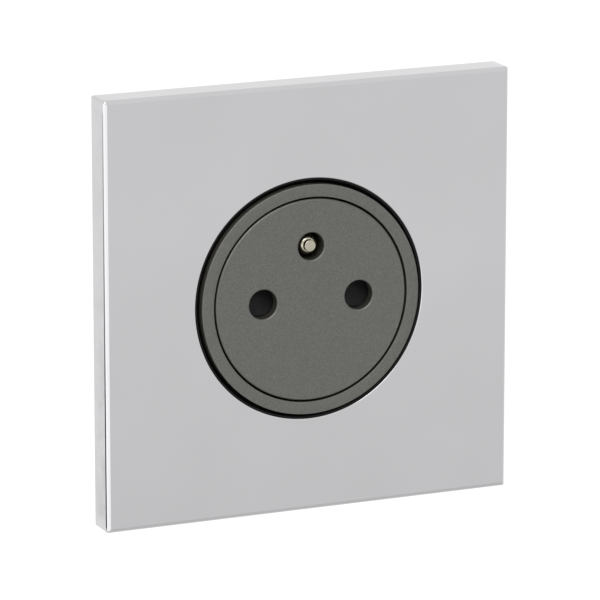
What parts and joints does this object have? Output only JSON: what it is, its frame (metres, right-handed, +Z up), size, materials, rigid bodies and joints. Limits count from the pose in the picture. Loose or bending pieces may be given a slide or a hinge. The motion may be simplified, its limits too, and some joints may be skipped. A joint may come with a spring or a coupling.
{
  "type": "wall socket",
  "caption": "Flush wall socket with a square chromed plate and a sprung graphite disc that a round-pin plug pushes in around a fixed earth pin.",
  "frame": {"origin": "centre of the fixing holes on the wall's surface, behind the middle of the plate", "axes": "+Y into the wall, -Y towards the room, +Z up with the earth pin above the two pin holes, +X to the right seen from the room"},
  "size_m": [0.08, 0.0404, 0.08],
  "materials": {
    "chromed_metal": "polished chrome plating",
    "graphite_plastic": "graphite with a fine metallic fleck, satin",
    "black_plastic": "black moulded, fine matt texture",
    "grey_plastic": "grey moulded, satin",
    "zinc_steel": "zinc-plated sheet",
    "nickel_brass": "nickel-plated, turned",
    "bronze_strip": "rolled strip",
    "spring_steel": "drawn wire and strip"
  },
  "bodies": {
    "root": {"cover_plate": "chromed_metal", "plate_carrier": "black_plastic", "mounting_frame": "zinc_steel", "corner_lug_top_left": "grey_plastic", "corner_lug_top_right": "grey_plastic", "corner_lug_bottom_left": "grey_plastic", "corner_lug_bottom_right": "grey_plastic", "bezel_ring": "graphite_plastic", "well_housing": "black_plastic", "rear_cover": "grey_plastic", "cover_screws": "zinc_steel", "earth_pin": "nickel_brass", "earth_strap": "bronze_strip", "live_contact": "bronze_strip", "neutral_contact": "bronze_strip", "live_clamp_spring": "spring_steel", "neutral_clamp_spring": "spring_steel", "earth_clamp_spring": "spring_steel", "disc_spring_top_left": "spring_steel", "disc_spring_top_right": "spring_steel", "disc_spring_bottom": "spring_steel"},
    "disc": {"front_disc": "graphite_plastic", "shutter_carrier": "black_plastic", "shutter_spring_left": "spring_steel", "shutter_spring_right": "spring_steel"},
    "shutter": {"shutter": "black_plastic"}
  },
  "joints": [
    {"name": "disc_slide", "type": "slide", "parent": "root", "child": "disc", "axis": [0, 1, 0], "range_m": [0, 0.015], "stiffness_N_per_m": 500, "springref_m": -0.01, "deforming": ["disc_spring_top_left", "disc_spring_top_right", "disc_spring_bottom"]},
    {"name": "shutter_slide", "type": "slide", "parent": "disc", "child": "shutter", "axis": [0, 0, -1], "range_m": [0, 0.0062], "stiffness_N_per_m": 100, "springref_m": -0.004, "deforming": ["shutter_spring_left", "shutter_spring_right"]}
  ]
}
